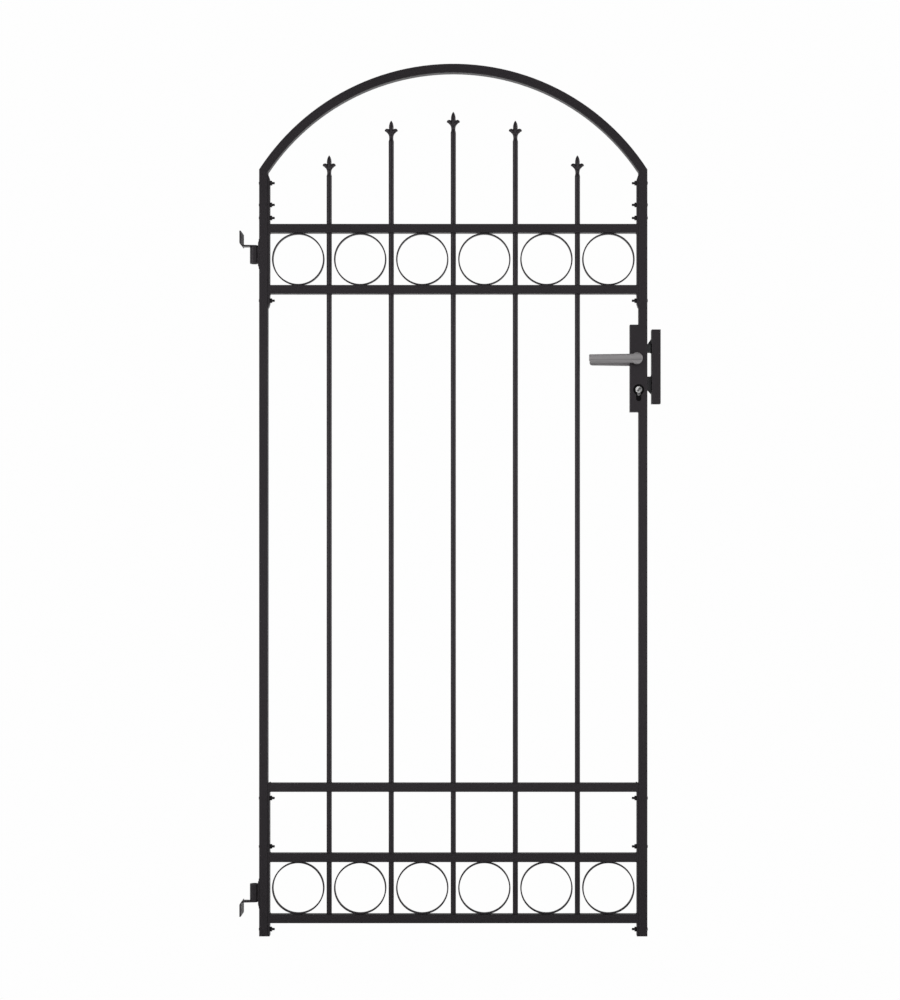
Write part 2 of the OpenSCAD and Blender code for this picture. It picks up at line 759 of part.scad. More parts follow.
module strike() {
    back = tube_w / 2 + ear_gap;
    color(steel) on_leaf() difference() {
        union() {
            translate([strike_x + strike_w / 2, (back - tube_w / 2) / 2, strike_z])
                linear_extrude(strike_h) soft_corners(strike_w, back + tube_w / 2);
            translate([0, back + stop_t, 0]) rotate([90, 0, 0]) linear_extrude(stop_t)
                stop_outline();
        }
        translate([strike_x + strike_t, -tube_w / 2 + strike_t, strike_z - eps])
            cube([strike_w - 2 * strike_t, tube_w - 2 * strike_t, strike_h + 2 * eps]);
        bolt_mouth(latch_z, latch_h);
        bolt_mouth(dead_z, dead_h);
        for (side = [-1, 1])
            translate([strike_x + strike_w, 0, strike_z + strike_h / 2 + side * strike_hole_gap / 2])
                rotate([0, 90, 0]) cylinder(d = strike_hole_d, h = 3 * strike_t, center = true);
    }
}

// the mouth in the strike's inner face that takes a bolt of height h
module bolt_mouth(z, h) {
    room = 3;
    translate([strike_x - eps, -latch_t / 2 - room, z - h / 2 - room])
        cube([strike_t + 2 * eps, latch_t + 2 * room, h + 2 * room]);
}

stile(-1, 0, splice_z);  // hinge_stile
stile(1, 0, case_z);  // lock_stile_lower
stile(1, case_z + case_h, splice_z);  // lock_stile_upper
arch_top();
side_plate(-1, 0, lower_plate_top, 0);  // hinge_plate_low
side_plate(-1, plate_foot, plate_top, plate_slope);  // hinge_plate_high
side_plate(1, 0, lower_plate_top, 0);  // lock_plate_low
side_plate(1, plate_foot, plate_top, plate_slope);  // lock_plate_high
rail(foot_gap, true);  // bottom_rail
rail(lower_band_z + band_h, false);  // lower_band_rail
rail(lower_rail_z, false);  // lower_rail
rail(upper_band_z - tube_w, false);  // upper_band_rail
rail(top_rail_z, false);  // top_rail
bar(0);  // bar_1
bar(1);  // bar_2
bar(2);  // bar_3
bar(3);  // bar_4
bar(4);  // bar_5
spear(0);  // spear_1
spear(1);  // spear_2
spear(2);  // spear_3
spear(3);  // spear_4
spear(4);  // spear_5
rings(lower_band_z);  // lower_rings
rings(upper_band_z);  // upper_rings
side_bolts(-1);  // hinge_side_bolts
side_bolts(1);  // lock_side_bolts
side_nuts(-1);  // hinge_side_nuts
side_nuts(1);  // lock_side_nuts
foot_caps();
hinge_barrel(lower_barrel_z, true);  // lower_hinge_barrel
hinge_barrel(upper_barrel_z, false);  // upper_hinge_barrel
lower_wall_bracket();
upper_wall_bracket();
lock_case();
lock_body();
lock_cylinder();
cylinder_plug();
dead_bolt();
latch_bolt();
front_lever();
back_lever();
spindle();
strike();
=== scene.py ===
import json
import math

import bmesh
import bpy
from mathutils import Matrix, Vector


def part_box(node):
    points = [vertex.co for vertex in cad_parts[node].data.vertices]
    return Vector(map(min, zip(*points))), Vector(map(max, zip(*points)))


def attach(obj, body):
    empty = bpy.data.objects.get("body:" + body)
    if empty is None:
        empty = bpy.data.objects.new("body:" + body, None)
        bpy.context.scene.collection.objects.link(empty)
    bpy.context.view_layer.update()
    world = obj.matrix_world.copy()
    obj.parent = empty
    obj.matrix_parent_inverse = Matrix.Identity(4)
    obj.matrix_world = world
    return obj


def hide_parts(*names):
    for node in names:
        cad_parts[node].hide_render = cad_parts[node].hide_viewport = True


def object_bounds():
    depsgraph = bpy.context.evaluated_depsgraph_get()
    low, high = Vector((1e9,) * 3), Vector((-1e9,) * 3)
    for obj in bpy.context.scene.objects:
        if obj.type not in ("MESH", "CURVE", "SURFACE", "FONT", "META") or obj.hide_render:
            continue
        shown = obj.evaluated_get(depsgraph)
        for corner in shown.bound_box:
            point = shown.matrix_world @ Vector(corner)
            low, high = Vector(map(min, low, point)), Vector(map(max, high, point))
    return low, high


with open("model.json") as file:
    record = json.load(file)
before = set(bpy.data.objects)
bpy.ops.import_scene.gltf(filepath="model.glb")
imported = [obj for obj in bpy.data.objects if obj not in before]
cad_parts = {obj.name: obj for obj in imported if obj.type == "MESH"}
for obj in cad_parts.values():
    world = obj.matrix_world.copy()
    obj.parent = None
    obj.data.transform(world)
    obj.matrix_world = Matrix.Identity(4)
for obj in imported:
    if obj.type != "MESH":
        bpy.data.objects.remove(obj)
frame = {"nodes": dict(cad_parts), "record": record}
cadLow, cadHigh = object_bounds()
scene = bpy.context.scene
mm = 0.001
print("gate: frame loaded")


# One node of a tree: its inputs take either a number or another node's output.
def addNode(tree, kind, inputs=None, **settings):
    node = tree.nodes.new(kind)
    for key, value in settings.items():
        setattr(node, key, value)
    for key, value in (inputs or {}).items():
        if isinstance(value, bpy.types.NodeSocket):
            tree.links.new(value, node.inputs[key])
        else:
            node.inputs[key].default_value = value
    return node.outputs


def addMath(tree, operation, *values):
    return addNode(tree, "ShaderNodeMath", dict(enumerate(values)), operation=operation)[0]


def addRange(tree, value, start, end, low, high, kind="LINEAR"):
    inputs = {"Value": value, "From Min": start, "From Max": end, "To Min": low, "To Max": high}
    return addNode(tree, "ShaderNodeMapRange", inputs, interpolation_type=kind)["Result"]


camera = {
    "place": (0.5488, -4.285, 0.7965),
    "lens": 67.17,
    "shift": (-0.03, 0.0618),
}


def addCamera():
    data = bpy.data.cameras.new("gateCamera")
    data.lens = camera["lens"]
    data.sensor_width = 36
    data.shift_x, data.shift_y = camera["shift"]
    eye = bpy.data.objects.new("gateCamera", data)
    eye.location = camera["place"]
    eye.rotation_euler = (math.pi / 2, 0, 0)
    scene.collection.objects.link(eye)
    scene.camera = eye


studio = {
    "backdrop": (0.99, 0.99, 0.99, 1),     # what the camera sees behind the gate and on the floor
    # light from the camera's side and from behind the gate: below, level and above the horizon,
    # and the height at which it is fully above
    "front": (0.6, 1.32, 0.02, 0.31),
    "behind": (2.2, 0.75, 0.25, 0.22),
    "fall": -0.6,              # the height at which it is fully below
    "turn": (-0.6, 0.5),       # depths between which the front light passes into the one behind
    "overhead": (0.75, 0.95, 1.0),         # heights at which it starts and is full, strength
    "floorTone": (0.85, 0.85, 0.85, 1),    # the floor as the gate sees it
    "floorDrop": 0.06,    # floor below the foot of the leaf
    "floorSize": 10.0,
    # upright light panels: degrees round from the camera towards +X, half width, strength,
    # and the heights above and below the horizon between which they fade
    "panels": ((-40, 14, 2.4), (28, 44, 0.25), (95, 28, 2.6), (-105, 25, 0.9)),
    "panelFade": (0.9, 0.5),
}


# Soft light from all round, with tall panels beside the gate; the camera sees only white.
def addWorld():
    world = bpy.data.worlds.new("studio")
    scene.world = world
    world.use_nodes = True
    tree = world.node_tree
    tree.nodes.clear()
    coords = addNode(tree, "ShaderNodeTexCoord")["Generated"]
    x, y, z = addNode(tree, "ShaderNodeSeparateXYZ", {0: coords})
    sides = []
    for below, level, above, rise in (studio["front"], studio["behind"]):
        up = addRange(tree, z, 0, rise, level, above, "SMOOTHSTEP")
        down = addRange(tree, z, 0, studio["fall"], 1, below / level, "SMOOTHSTEP")
        sides.append(addMath(tree, "MULTIPLY", up, down))
    depth = addRange(tree, y, *studio["turn"], 0, 1, "SMOOTHSTEP")
    light = addNode(tree, "ShaderNodeMix", {0: depth, 2: sides[0], 3: sides[1]})[0]
    start, full, strength = studio["overhead"]
    light = addMath(tree, "ADD", light, addRange(tree, z, start, full, 0, strength, "SMOOTHSTEP"))
    heading = addMath(tree, "ARCTAN2", x, addMath(tree, "MULTIPLY", y, -1.0))
    tall = addRange(tree, addMath(tree, "ABSOLUTE", z), *studio["panelFade"], 0, 1, "SMOOTHSTEP")
    for middle, half, strength in studio["panels"]:
        away = addMath(tree, "ABSOLUTE", addMath(tree, "SUBTRACT", heading, math.radians(middle)))
        edge, core = math.radians(half), math.radians(half / 2)
        side = addRange(tree, away, edge, core, 0, strength, "SMOOTHSTEP")
        light = addMath(tree, "MULTIPLY_ADD", side, tall, light)
    soft = addNode(tree, "ShaderNodeBackground", {"Strength": light})[0]
    white = addNode(tree, "ShaderNodeBackground", {"Color": studio["backdrop"]})[0]
    seen = addNode(tree, "ShaderNodeLightPath")["Is Camera Ray"]
    mixed = addNode(tree, "ShaderNodeMixShader", {0: seen, 1: soft, 2: white})[0]
    addNode(tree, "ShaderNodeOutputWorld", {"Surface": mixed})


def addFloor():
    half = studio["floorSize"] / 2
    z = cadLow.z - studio["floorDrop"]
    corners = [(-half, -half, z), (half, -half, z), (half, half, z), (-half, half, z)]
    mesh = bpy.data.meshes.new("studioFloor")
    mesh.from_pydata(corners, [], [(0, 1, 2, 3)])
    floor = bpy.data.objects.new("studioFloor", mesh)
    scene.collection.objects.link(floor)
    pale = bpy.data.materials.new("paleFloor")
    pale.use_nodes = True
    tree = pale.node_tree
    tree.nodes.clear()
    matt = addNode(tree, "ShaderNodeBsdfDiffuse", {"Color": studio["floorTone"]})[0]
    white = addNode(tree, "ShaderNodeEmission", {"Color": studio["backdrop"]})[0]
    seen = addNode(tree, "ShaderNodeLightPath")["Is Camera Ray"]
    mixed = addNode(tree, "ShaderNodeMixShader", {0: seen, 1: matt, 2: white})[0]
    addNode(tree, "ShaderNodeOutputMaterial", {"Surface": mixed})
    mesh.materials.append(pale)


addCamera()
addWorld()
addFloor()
scene.view_settings.view_transform = "Standard"
print("gate: camera, light and floor placed")


def newFinish(name, roughness, metallic=0.0, specular=0.5):
    material = bpy.data.materials.new(name)
    material.use_nodes = True
    tree = material.node_tree
    shader = tree.nodes["Principled BSDF"]
    shader.inputs["Roughness"].default_value = roughness
    shader.inputs["Metallic"].default_value = metallic
    shader.inputs["Specular IOR Level"].default_value = specular
    return material, tree, shader, addNode(tree, "ShaderNodeTexCoord")["Object"]


def addNoise(tree, coords, scale, detail=2.0, stretch=(1, 1, 1)):
    spread = addNode(tree, "ShaderNodeMapping", {"Vector": coords, "Scale": stretch})[0]
    return addNode(tree, "ShaderNodeTexNoise", {"Vector": spread, "Scale": scale, "Detail": detail})[0]


def addRamp(tree, value, low, high, start=0.3, end=0.7):
    ramp = tree.nodes.new("ShaderNodeValToRGB")
    ends = ramp.color_ramp.elements
    ends[0].position, ends[1].position = start, end
    ends[0].color, ends[1].color = (*low, 1), (*high, 1)
    tree.links.new(value, ramp.inputs["Fac"])
    return ramp.outputs["Color"]


# Each layer is a height field, its depth and its strength.
def addBumps(tree, shader, *layers):
    normal = None
    for value, distance, strength in layers:
        inputs = {"Height": value, "Distance": distance, "Strength": strength}
        if normal:
            inputs["Normal"] = normal
        normal = addNode(tree, "ShaderNodeBump", inputs)[0]
    tree.links.new(normal, shader.inputs["Normal"])


powder = {
    "tint": (1, 0.93, 0.99, 1),
    "cloud": 7.0,          # slow change of tone, per metre
    "peel": 520.0,         # orange peel of the baked coat, per metre
    "peelDepth": 0.03 * mm,
    "spread": 0.06,        # change of roughness
    "grain": 2600.0,
    "grainDepth": 0.012 * mm,
}
noiseSpan = (0.3, 0.7)     # where a noise's values mostly lie


def varyRoughness(tree, shader, value, roughness, spread):
    rough = addRange(tree, value, *noiseSpan, roughness - spread, roughness + spread)
    tree.links.new(rough, shader.inputs["Roughness"])


def powderCoat(name, dark, light, roughness, specular=0.4):
    material, tree, shader, coords = newFinish(name, roughness, specular=specular)
    shader.inputs["Specular Tint"].default_value = powder["tint"]
    cloud = addNoise(tree, coords, powder["cloud"], 3)
    tree.links.new(addRamp(tree, cloud, dark, light), shader.inputs["Base Color"])
    peel = addNoise(tree, coords, powder["peel"], 1.5)
    grain = addNoise(tree, coords, powder["grain"], 1)
    varyRoughness(tree, shader, peel, roughness, powder["spread"])
    addBumps(tree, shader, (peel, powder["peelDepth"], 0.8), (grain, powder["grainDepth"], 0.6))
    return material


brush = {"along": 14.0, "across": 1500.0, "depth": 0.015 * mm, "spread": 0.08}


# Metal brushed along X, with streaks in its tone and its shine.
def brushedMetal(name, dark, light, roughness, metallic):
    material, tree, shader, coords = newFinish(name, roughness, metallic)
    lines = (brush["along"] / brush["across"], 1, 1)
    streak = addNoise(tree, coords, brush["across"] / 4, 4, lines)
    fine = addNoise(tree, coords, brush["across"], 2, lines)
    tree.links.new(addRamp(tree, streak, dark, light, 0.35, 0.65), shader.inputs["Base Color"])
    varyRoughness(tree, shader, fine, roughness, brush["spread"])
    addBumps(tree, shader, (fine, brush["depth"], 0.7))
    return material


turned = {"blotch": 260.0, "fine": 4200.0, "depth": 0.006 * mm, "spread": 0.06}


def turnedMetal(name, dark, light, roughness, metallic):
    material, tree, shader, coords = newFinish(name, roughness, metallic)
    blotch = addNoise(tree, coords, turned["blotch"], 3)
    fine = addNoise(tree, coords, turned["fine"], 2)
    tree.links.new(addRamp(tree, blotch, dark, light), shader.inputs["Base Color"])
    varyRoughness(tree, shader, fine, roughness, turned["spread"])
    addBumps(tree, shader, (fine, turned["depth"], 0.6))
    return material


# How far a point lies from a line along Y.
def distanceFrom(tree, coords, centre):
    away = addNode(tree, "ShaderNodeVectorMath", {0: coords, 1: centre}, operation="SUBTRACT")[0]
    flat = addNode(tree, "ShaderNodeVectorMath", {0: away, 1: (1, 0, 1)}, operation="MULTIPLY")[0]
    return addNode(tree, "ShaderNodeVectorMath", {0: flat}, operation="LENGTH")["Value"]


def mixColours(tree, share, first, second):
    return addNode(tree, "ShaderNodeMix", {0: share, 6: first, 7: second}, data_type="RGBA")[2]


cylinderLook = {
    "collar": (8.77 * mm, 8.43 * mm),  # the dark collar round the plug ends between these radii
    "collarTone": (0.012, 0.012, 0.013, 1),
    "limbTones": ((0.07, 0.07, 0.072), (0.26, 0.255, 0.258)),
    "grain": 700.0,                    # upright streaks on the limb, per metre
}


# Nickel with upright streaks on the limb and a dark collar round the plug.
def cylinderMetal(name):
    material, tree, shader, coords = newFinish(name, 0.34, 0.6)
    low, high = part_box("cylinder_plug")
    away = distanceFrom(tree, coords, (low + high) / 2)
    streak = addNoise(tree, coords, cylinderLook["grain"], 2, (1, 1, 0.02))
    limb = addRamp(tree, streak, *cylinderLook["limbTones"])
    collar = addRange(tree, away, *cylinderLook["collar"], 0, 1)
    tone = mixColours(tree, collar, limb, cylinderLook["collarTone"])
    tree.links.new(tone, shader.inputs["Base Color"])
    addBumps(tree, shader, (streak, brush["depth"], 0.5))
    return material


# A finish passes into other tones between two places on X.
def retone(material, start, end, dark, light):
    tree = material.node_tree
    shader = tree.nodes["Principled BSDF"]
    first = shader.inputs["Base Color"].links[0].from_socket
    coords = addNode(tree, "ShaderNodeTexCoord")["Object"]
    second = addRamp(tree, addNoise(tree, coords, powder["cloud"], 3), dark, light)
    x = addNode(tree, "ShaderNodeSeparateXYZ", {0: coords})[0]
    share = addRange(tree, x, start, end, 0, 1, "SMOOTHSTEP")
    tree.links.new(mixColours(tree, share, first, second), shader.inputs["Base Color"])
    return material


plugLook = {
    "tones": ((0.74, 0.74, 0.73), (0.84, 0.84, 0.83)),
    # painted shade on the plug's side towards the edge of the leaf
    "shadedTones": ((0.29, 0.29, 0.29), (0.31, 0.31, 0.31)),
    "passing": (0.5 * mm, 3.5 * mm),     # from the plug's middle
}


# The plug is painted darker towards the edge of the leaf: painted shade on that side, so its face shows
# a painted reflection, bright on one side and dark on the other.
def plugMetal(name):
    low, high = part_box("cylinder_plug")
    start, end = ((low.x + high.x) / 2 + place for place in plugLook["passing"])
    return retone(turnedMetal(name, *plugLook["tones"], 0.3, 0.15), start, end, *plugLook["shadedTones"])


strikeLook = {
    "tones": ((0.011, 0.0095, 0.011), (0.015, 0.013, 0.015)),
    # painted light on the ears, which lie in shade: lighter tones than the box
    "ears": ((0.07, 0.0725, 0.075), (0.085, 0.088, 0.091)),
    "passing": (-20.3 * mm, -20.7 * mm),     # from the strike's outer face
}


# The strike's ears are painted lighter than its box: painted light on ears that lie in shade between the
# leaf and the strike.
def strikeCoat(name):
    start, end = (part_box("strike")[1].x + place for place in strikeLook["passing"])
    return retone(powderCoat(name, *strikeLook["tones"], 0.36), start, end, *strikeLook["ears"])


finishes = {
    "black_paint": powderCoat("blackPaint", (0.011, 0.009, 0.0108), (0.015, 0.0125, 0.0148), 0.36),
    "strike_coat": strikeCoat("strikeCoat"),
    "painted_fasteners": powderCoat("boltPaint", (0.007, 0.0063, 0.007), (0.0095, 0.0085, 0.0095), 0.36),
    "cap_plastic": powderCoat("capPlastic", (0.006, 0.006, 0.0063), (0.009, 0.009, 0.0094), 0.6, 0.3),
    "lock_black": powderCoat("lockBlack", (0.0012, 0.0012, 0.0014), (0.002, 0.002, 0.0022), 0.55, 0.12),
    "cylinder_nickel": cylinderMetal("cylinderNickel"),
    "plug_nickel": plugMetal("plugNickel"),
    "bolt_steel": turnedMetal("darkSteel", (0.03, 0.031, 0.032), (0.05, 0.051, 0.053), 0.38, 0.8),
    "lever_alloy": brushedMetal("leverAlloy", (0.218, 0.209, 0.214), (0.355, 0.34, 0.346), 0.36, 0.25),
}
for part in frame["record"]["subparts"]:
    nodeMesh = frame["nodes"][part["node"]].data
    nodeMesh.materials.clear()
    nodeMesh.materials.append(finishes[part["material_slot"]])
slotOf = {part["node"]: part["material_slot"] for part in frame["record"]["subparts"]}
bodies = frame["record"]["behaviour"]["bodies"]
bodyOf = {node: body for body, nodes in bodies.items() for node in nodes}
print("gate: finishes made")


def placePiece(name, mesh, finish, body, replaced=()):
    mesh.name = name
    mesh.materials.clear()
    mesh.materials.append(finishes[finish])
    piece = bpy.data.objects.new(name, mesh)
    scene.collection.objects.link(piece)
    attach(piece, body)
    if replaced:
        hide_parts(*replaced)


# The plain mesh that an object's modifiers give; the object goes away.
def meshAfter(maker):
    graph = bpy.context.evaluated_depsgraph_get()
    graph.update()
    mesh = bpy.data.meshes.new_from_object(maker.evaluated_get(graph))
    maker.modifiers.clear()
    bpy.data.objects.remove(maker)
    return mesh


def newMaker(name, mesh):
    maker = bpy.data.objects.new(name, mesh)
    scene.collection.objects.link(maker)
    return maker


# A geometry tree that works on one mesh and has a named input for each size or pattern.
def newTree(name, sizes):
    tree = bpy.data.node_groups.new(name, "GeometryNodeTree")
    kinds = {float: "NodeSocketFloat", int: "NodeSocketInt", bpy.types.Object: "NodeSocketObject"}
    for way in ("INPUT", "OUTPUT"):
        tree.interface.new_socket("Geometry", in_out=way, socket_type="NodeSocketGeometry")
    for label, value in sizes.items():
        tree.interface.new_socket(label, in_out="INPUT", socket_type=kinds[type(value)])
    return tree, tree.nodes.new("NodeGroupInput").outputs


# Ends a tree, runs it on a mesh and places the plain result as a piece on a body.
def growPiece(name, tree, geometry, start, sizes, finish, body, replaced=()):
    real = addNode(tree, "GeometryNodeRealizeInstances", {"Geometry": geometry})[0]
    coat = {"Geometry": real, "Material": finishes[finish]}
    dressed = addNode(tree, "GeometryNodeSetMaterial", coat)[0]
    tree.links.new(dressed, tree.nodes.new("NodeGroupOutput").inputs[0])
    maker = newMaker(name, start)
    modifier = maker.modifiers.new(name, "NODES")
    modifier.node_group = tree
    for item in tree.interface.items_tree:
        if item.in_out == "INPUT" and item.name in sizes:
            modifier[item.identifier] = sizes[item.name]
    placePiece(name, meshAfter(maker), finish, body, replaced)


def pointMesh(name, places):
    mesh = bpy.data.meshes.new(name)
    mesh.from_pydata([tuple(place) for place in places], [], [])
    return mesh


# One pattern mesh set at each place by a tree.
def scatterPattern(name, patternMesh, places, finish, body, replaced=()):
    pattern = newMaker(name + "Pattern", patternMesh)
    sizes = {"Pattern": pattern}
    tree, entry = newTree(name + "Row", sizes)
    shape = addNode(tree, "GeometryNodeObjectInfo", {"Object": entry["Pattern"]})["Geometry"]
    row = addNode(tree, "GeometryNodeInstanceOnPoints", {"Points": entry[0], "Instance": shape})[0]
    growPiece(name, tree, row, pointMesh(name, places), sizes, finish, body, replaced)
    bpy.data.objects.remove(pattern)


# Rows of numbers drawn out into a smooth run through every row given.
def smoothRows(rows, steps):
    out = []
    for i in range(len(rows) - 1):
        four = (rows[max(i - 1, 0)], rows[i], rows[i + 1], rows[min(i + 2, len(rows) - 1)])
        for step in range(steps):
            t = step / steps
            weights = (-t + 2 * t**2 - t**3, 2 - 5 * t**2 + 3 * t**3,
                       t + 4 * t**2 - 3 * t**3, t**3 - t**2)
            out.append([sum(w * v for w, v in zip(weights, column)) / 2 for column in zip(*four)])
    return out + [list(rows[-1])]


def skinRings(shell, places):
    rings = [[shell.verts.new(place) for place in ring] for ring in places]
    count = len(rings[0])
    for a, b in zip(rings, rings[1:]):
        for k in range(count):
            shell.faces.new((a[k], a[(k + 1) % count], b[(k + 1) % count], b[k]))
    shell.faces.new(rings[0][::-1])
    shell.faces.new(rings[-1])


# A closed skin round a path in the gate's plane: each row is x, z, half width and half depth in mm.
def addLoft(shell, rows, squareness=2.0, sides=28, middleY=0.0, upright=False):
    centres = [Vector((row[0], middleY, row[1])) * mm for row in rows]
    places = []
    for i, row in enumerate(rows):
        along = centres[min(i + 1, len(rows) - 1)] - centres[max(i - 1, 0)]
        across = Vector((0, 0, 1)) if upright else along.cross(Vector((0, 1, 0))).normalized()
        ring = []
        for k in range(sides):
            c, s = math.cos(2 * math.pi * k / sides), math.sin(2 * math.pi * k / sides)
            u = math.copysign(abs(c) ** (2 / squareness), c) * row[2] * mm
            v = math.copysign(abs(s) ** (2 / squareness), s) * row[3] * mm
            ring.append(centres[i] + across * u + Vector((0, v, 0)))
        places.append(ring)
    skinRings(shell, places)


# A turned shape on a line through a point: each row is a place along the line and a radius in mm.
def addTurned(shell, rows, centre=(0, 0, 0), axis="Z", sides=40):
    places = []
    for along, radius in rows:
        ring = []
        for k in range(sides):
            c = math.cos(2 * math.pi * k / sides) * radius
            s = math.sin(2 * math.pi * k / sides) * radius
            spot = {"X": (along, c, s), "Y": (c, along, s), "Z": (c, s, along)}[axis]
            ring.append(Vector(spot) * mm + Vector(centre))
        places.append(ring)
    skinRings(shell, places)


def closeShell(name, shell):
    bmesh.ops.recalc_face_normals(shell, faces=shell.faces)
    mesh = bpy.data.meshes.new(name)
    shell.to_mesh(mesh)
    shell.free()
    return mesh


# Overlapping closed shells melted into one skin, as a casting is.
def meltShells(name, shell, voxel, rounds):
    maker = newMaker(name, closeShell(name, shell))
    remesh = maker.modifiers.new("melt", "REMESH")
    remesh.mode = "VOXEL"
    remesh.voxel_size = voxel
    remesh.use_smooth_shade = True
    smooth = maker.modifiers.new("ease", "SMOOTH")
    smooth.factor = 0.5
    smooth.iterations = rounds
    return meshAfter(maker)


spearHead = {
    "voxel": 0.34 * mm,
    "ease": 5,
    # height below the tip, half width and half depth in mm
    "blade": ((0, 0.7, 0.7), (-1.0, 1.4, 1.3), (-4.8, 3.4, 2.9), (-9.6, 4.8, 4.2), (-14.5, 5.4, 4.9),
              (-21, 5.3, 5.2), (-28, 4.7, 4.8), (-35, 4.0, 4.1)),
    # from the neck out to the end of a lobe: out, height, half width and half depth in mm
    "lobe": ((1.3, -39, 2.8, 3.3), (2.3, -34, 3.0, 3.8), (3.9, -29, 3.6, 4.5), (6.1, -25.2, 4.4, 4.9),
             (8.6, -22.9, 4.6, 4.6), (11.1, -22.4, 4.0, 3.7), (13.3, -23.0, 2.6, 2.5),
             (14.7, -23.7, 1.0, 1.0)),
    # the neck, a lip over the top of the bar and the end inside it: height and radius in mm
    "neck": ((-31, 3.9), (-35, 5.2), (-37.5, 5.0), (-39.5, 4.7), (-41.5, 4.7), (-44, 5.1), (-47, 5.9),
             (-48.6, 6.2), (-49.6, 6.2), (-49.6, 4.7), (-54, 4.7)),
}


def makeSpearHead():
    shell = bmesh.new()
    blade = [(0, *row) for row in spearHead["blade"]]
    addLoft(shell, smoothRows(blade, 8), squareness=1.5, sides=40)
    for side in (-1, 1):
        lobe = [(side * row[0], *row[1:]) for row in spearHead["lobe"]]
        addLoft(shell, smoothRows(lobe, 8), sides=40)
    addTurned(shell, spearHead["neck"])
    return meltShells("spearHead", shell, spearHead["voxel"], spearHead["ease"])


def addSpears():
    names = [name for name in frame["nodes"] if name.startswith("spear_")]
    tips = []
    for name in names:
        low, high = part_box(name)
        tips.append(((low.x + high.x) / 2, 0, high.z))
    scatterPattern("spear_heads", makeSpearHead(), tips, "black_paint", "leaf", names)


addSpears()
print("gate: spear heads on the bars")


lever = {
    "voxel": 0.55 * mm,
    "ease": 3,
    # the blade in mm
    "thick": 11.0,
    "tipHeight": 18.0,
    "corner": 6.0,        # the rounded lower corner of the tip
    "tipEase": 1.6,       # the tip's other edges
    "shoulder": 2.75,     # how far the hub stands out round the blade
    "sunk": 0.4,          # how far the blade's face lies behind the hub's
    "squareness": 7.0,
    "rows": (0.02, 0.2, 0.6, 1.1, 1.6, 2.4, 3.4, 4.6, 6, 20, 50, 80),     # from the tip
    # the hub's edges in mm: place from its back or depth from its face, and how much its radius
    # falls short of the full one
    "hubBack": ((-0.2, 1.6), (0, 1.0), (0.9, 0)),
    "hubFace": ((1.5, 0), (0.7, 0.4), (0.15, 1.4), (0, 2.8)),
    "neck": 6.5,          # its radius in mm
    "neckSunk": 3.0,      # how far the neck runs into the hub
    # the cove from the neck to the hub in mm: place from the hub's back and radius
    "cove": ((-3.4, 5.375), (-2.2, 6.5), (-1.2, 7.625), (-0.5, 9.875), (0.2, 11.0), (2.0, 11.0)),
}


# One row of the blade: its place on X, its middle, and its half height and half thickness.
def leverRow(dx, tipX, hubX, headZ, radius):
    tip, root = lever["tipHeight"] / 2, radius - lever["shoulder"]
    tall = tip + (root - tip) * dx / (hubX - tipX)
    reach = max(lever["corner"] - dx, 0)
    rise = lever["corner"] - math.sqrt(lever["corner"]**2 - reach**2)
    near = max(lever["tipEase"] - dx, 0)
    ease = lever["tipEase"] - math.sqrt(lever["tipEase"]**2 - near**2)
    return (tipX + dx, headZ + (rise - ease) / 2, tall - (rise + ease) / 2,
            lever["thick"] / 2 - ease)


def addLever(name, side):
    low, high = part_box(name)
    tipX, headX, headZ = low.x / mm, high.x / mm, (low.z + high.z) / 2 / mm
    radius = (high.z - low.z) / 2 / mm
    face, root = (high.y, low.y) if side > 0 else (low.y, high.y)
    face, root = face / mm, root / mm
    under = face - side * lever["thick"]
    hubX = headX - radius
    shell = bmesh.new()
    steps = (*lever["rows"], hubX - tipX)
    rows = [leverRow(dx, tipX, hubX, headZ, radius) for dx in steps]
    middleY = face - side * (lever["thick"] / 2 + lever["sunk"])
    addLoft(shell, rows, lever["squareness"], 56, middleY, upright=True)
    hub = [(under + side * out, radius - less) for out, less in lever["hubBack"]]
    hub += [(face - side * deep, radius - less) for deep, less in lever["hubFace"]]
    hubCentre = (hubX * mm, 0, headZ * mm)
    addTurned(shell, hub, hubCentre, "Y", 72)
    spindleLow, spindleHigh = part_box("spindle")
    neck = [(root, lever["neck"]), (under + side * lever["neckSunk"], lever["neck"])]
    addTurned(shell, neck, ((spindleLow.x + spindleHigh.x) / 2, 0, headZ * mm), "Y", 56)
    cove = [(under + side * out, wide) for out, wide in lever["cove"]]
    addTurned(shell, cove, hubCentre, "Y", 56)
    placePiece(name + "_casting", meltShells(name, shell, lever["voxel"], lever["ease"]),
               "lever_alloy", "handle", (name,))


addLever("front_lever", -1)
addLever("back_lever", 1)
print("gate: levers cast")


rings = {"strip": 3.0 * mm, "edge": 0.9 * mm, "sides": 112}


def barMiddles():
    boxes = [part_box(name) for name in frame["nodes"] if name.startswith("bar_")]
    return sorted((low.x + high.x) / 2 for low, high in boxes)


# Each ring stands halfway between two bars, or next to a side plate.
def ringPlaces(name):
    low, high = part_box(name)
    radius = (high.z - low.z) / 2
    middles = barMiddles()
    across = [low.x + radius] + [(a + b) / 2 for a, b in zip(middles, middles[1:])] + [high.x - radius]
    return [Vector((x, 0, low.z + radius)) for x in across], radius, high.y - low.y


